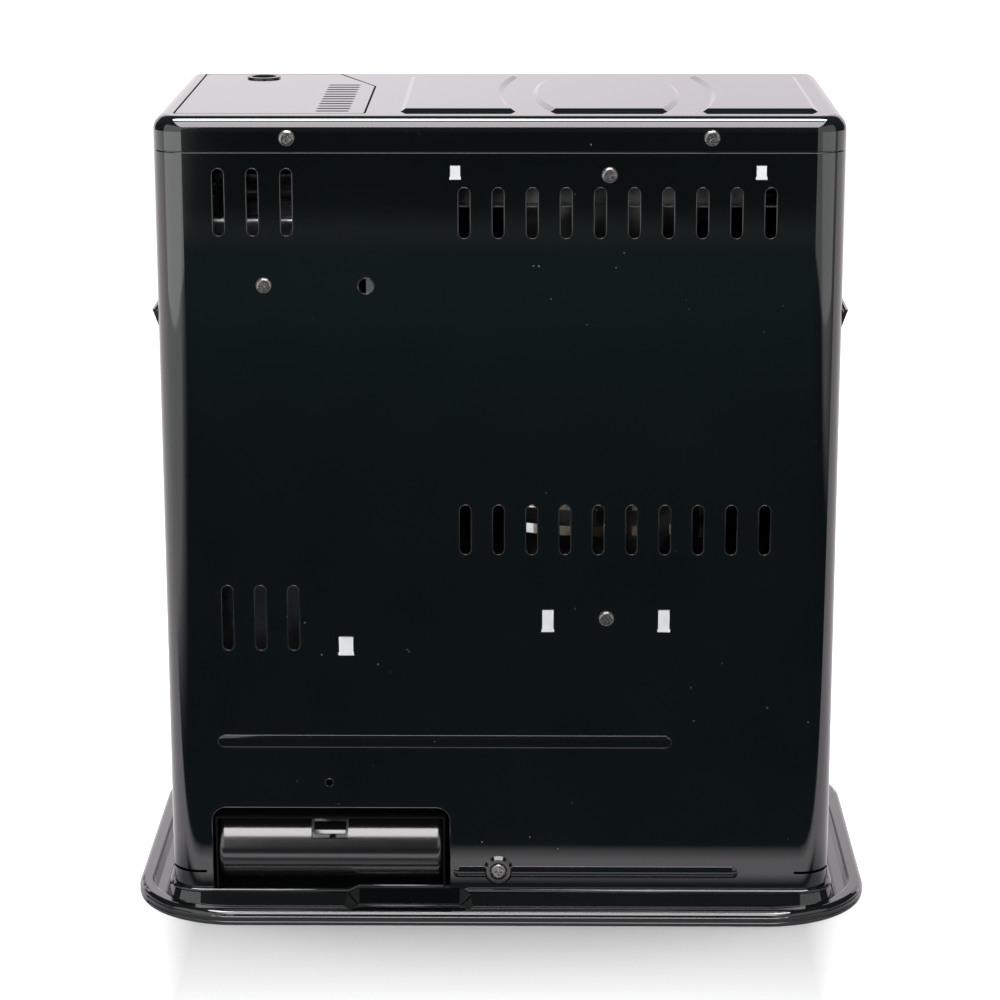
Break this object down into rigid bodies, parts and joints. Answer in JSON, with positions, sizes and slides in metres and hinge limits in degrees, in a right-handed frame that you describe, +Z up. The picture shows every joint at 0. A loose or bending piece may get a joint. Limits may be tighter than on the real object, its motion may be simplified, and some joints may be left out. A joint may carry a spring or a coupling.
{
  "type": "liquid fuel heater",
  "caption": "Upright radiant liquid fuel heater: steel cabinet on a spill tray, with a tank under a lid, a chimney burner behind a wire guard and a battery case in its back.",
  "frame": {"origin": "on the floor under the middle of the spill tray", "axes": "+Z up, -Y to the front with the window, +X to the side with the fuel tank"},
  "size_m": [0.452, 0.28, 0.4917],
  "materials": {
    "gloss_enamel": "gloss black enamel on pressed steel",
    "satin_black_plastic": "satin black moulded plastic",
    "zinc_steel": "zinc plated sheet steel",
    "bright_steel": "polished steel",
    "screw_steel": "dark nickel plated steel",
    "heat_steel": "heat tinted stainless steel",
    "glass": "clear heat resisting glass",
    "clear_plastic": "clear plastic",
    "wick_cloth": "woven glass and cotton",
    "brass": "plain brass",
    "red_plastic": "red moulded plastic",
    "cast_weight": "cast weight",
    "cell_jacket": "plain grey cell jacket",
    "lead_sheath": "black sleeving",
    "ceramic": "white ceramic"
  },
  "bodies": {
    "cabinet": {"base_tray": "gloss_enamel", "cabinet_wrap": "gloss_enamel", "top_plate": "gloss_enamel", "lid_hinge_ears": "zinc_steel", "upper_bracket": "zinc_steel", "lower_bracket": "zinc_steel", "bay_bracket": "zinc_steel", "bay_wall": "zinc_steel", "tank_guides": "zinc_steel", "sump_tank": "zinc_steel", "sump_pan": "zinc_steel", "sump_stand": "zinc_steel", "tank_receiver": "satin_black_plastic", "wick_housing": "zinc_steel", "burner_deck": "zinc_steel", "burner_seat": "zinc_steel", "reflector": "bright_steel", "top_shield": "bright_steel", "front_frame": "gloss_enamel", "control_fascia": "satin_black_plastic", "gauge_window": "clear_plastic", "gauge_body": "ceramic", "gauge_pointer": "red_plastic", "guard_brackets": "zinc_steel", "lever_guide": "zinc_steel", "stop_bracket": "zinc_steel", "igniter_guide": "zinc_steel", "igniter_lead": "lead_sheath", "tip_bracket": "zinc_steel", "battery_housing": "satin_black_plastic", "battery_contacts": "bright_steel", "side_handles": "satin_black_plastic", "screws": "screw_steel"},
    "lid": {"tank_lid": "gloss_enamel", "lid_grommet": "satin_black_plastic"},
    "tank": {"fuel_tank": "zinc_steel", "bail_ears": "zinc_steel"},
    "cap": {"tank_cap": "satin_black_plastic", "cap_valve": "brass"},
    "bail": {"tank_bail": "bright_steel", "bail_grip": "satin_black_plastic"},
    "guard": {"front_guard": "bright_steel"},
    "chimney": {"chimney_base": "heat_steel", "chimney_glass": "glass", "outer_fire_tube": "heat_steel", "inner_fire_tube": "heat_steel", "chimney_crown": "heat_steel", "chimney_cross_wires": "heat_steel", "chimney_knob": "bright_steel"},
    "wick_spindle": {"wick_shaft": "screw_steel", "wick_knob": "satin_black_plastic"},
    "wick_ring": {"wick": "wick_cloth", "wick_carrier": "zinc_steel"},
    "lever": {"ignition_lever": "satin_black_plastic"},
    "igniter_slide": {"igniter": "ceramic"},
    "stop": {"stop_button": "red_plastic"},
    "tip": {"tip_weight": "cast_weight"},
    "batteries": {"battery_case": "satin_black_plastic", "battery_cells": "cell_jacket"},
    "latch": {"battery_latch": "satin_black_plastic"}
  },
  "joints": [
    {"name": "lid_hinge", "type": "hinge", "parent": "cabinet", "child": "lid", "pos_m": [0.134, 0.0945, 0.484], "axis": [-1, 0, 0], "range_deg": [0, 94]},
    {"name": "tank_lift", "type": "slide", "parent": "cabinet", "child": "tank", "axis": [0, 0, 1], "range_m": [0, 0.008]},
    {"name": "cap_turn", "type": "hinge", "parent": "tank", "child": "cap", "pos_m": [0.135, 0.008, 0.1], "axis": [0, 0, 1], "range_deg": [0, 90]},
    {"name": "bail_fold", "type": "hinge", "parent": "tank", "child": "bail", "pos_m": [0.135, -0.008, 0.433], "axis": [1, 0, 0], "range_deg": [0, 90]},
    {"name": "guard_hinge", "type": "hinge", "parent": "cabinet", "child": "guard", "pos_m": [-0.194, -0.106, 0.3], "axis": [0, 0, -1], "range_deg": [0, 100]},
    {"name": "chimney_turn", "type": "hinge", "parent": "cabinet", "child": "chimney", "pos_m": [-0.064, -0.004, 0.205], "axis": [0, 0, 1], "range_deg": [-12, 12]},
    {"name": "wick_knob_turn", "type": "hinge", "parent": "cabinet", "child": "wick_spindle", "pos_m": [-0.064, -0.1, 0.112], "axis": [0, 1, 0], "range_deg": [0, 140]},
    {"name": "wick_lift", "type": "slide", "parent": "cabinet", "child": "wick_ring", "axis": [0, 0, 1], "range_m": [0, 0.0098]},
    {"name": "lever_press", "type": "slide", "parent": "cabinet", "child": "lever", "axis": [0, 0, -1], "range_m": [0, 0.012], "stiffness_N_per_m": 250, "springref_m": -0.004},
    {"name": "igniter_reach", "type": "slide", "parent": "cabinet", "child": "igniter_slide", "axis": [-1, 0, 0], "range_m": [0, 0.006]},
    {"name": "stop_press", "type": "slide", "parent": "cabinet", "child": "stop", "axis": [0, 1, 0], "range_m": [0, 0.004], "stiffness_N_per_m": 300, "springref_m": -0.003},
    {"name": "tip_swing", "type": "hinge", "parent": "cabinet", "child": "tip", "pos_m": [-0.15, -0.04, 0.066], "axis": [0, 1, 0], "range_deg": [-8, 8]},
    {"name": "battery_slide", "type": "slide", "parent": "cabinet", "child": "batteries", "axis": [0, 1, 0], "range_m": [0, 0.045]},
    {"name": "latch_press", "type": "hinge", "parent": "batteries", "child": "latch", "pos_m": [0.10445, 0.1178, 0.0484], "axis": [1, 0, 0], "range_deg": [0, 6], "stiffness_Nm_per_rad": 0.05, "springref_deg": -5.73}
  ],
  "couplings": [
    {"joint": "wick_lift", "follows": "wick_knob_turn", "m_per_rad": 0.004},
    {"joint": "igniter_reach", "follows": "lever_press", "ratio": 0.5}
  ]
}
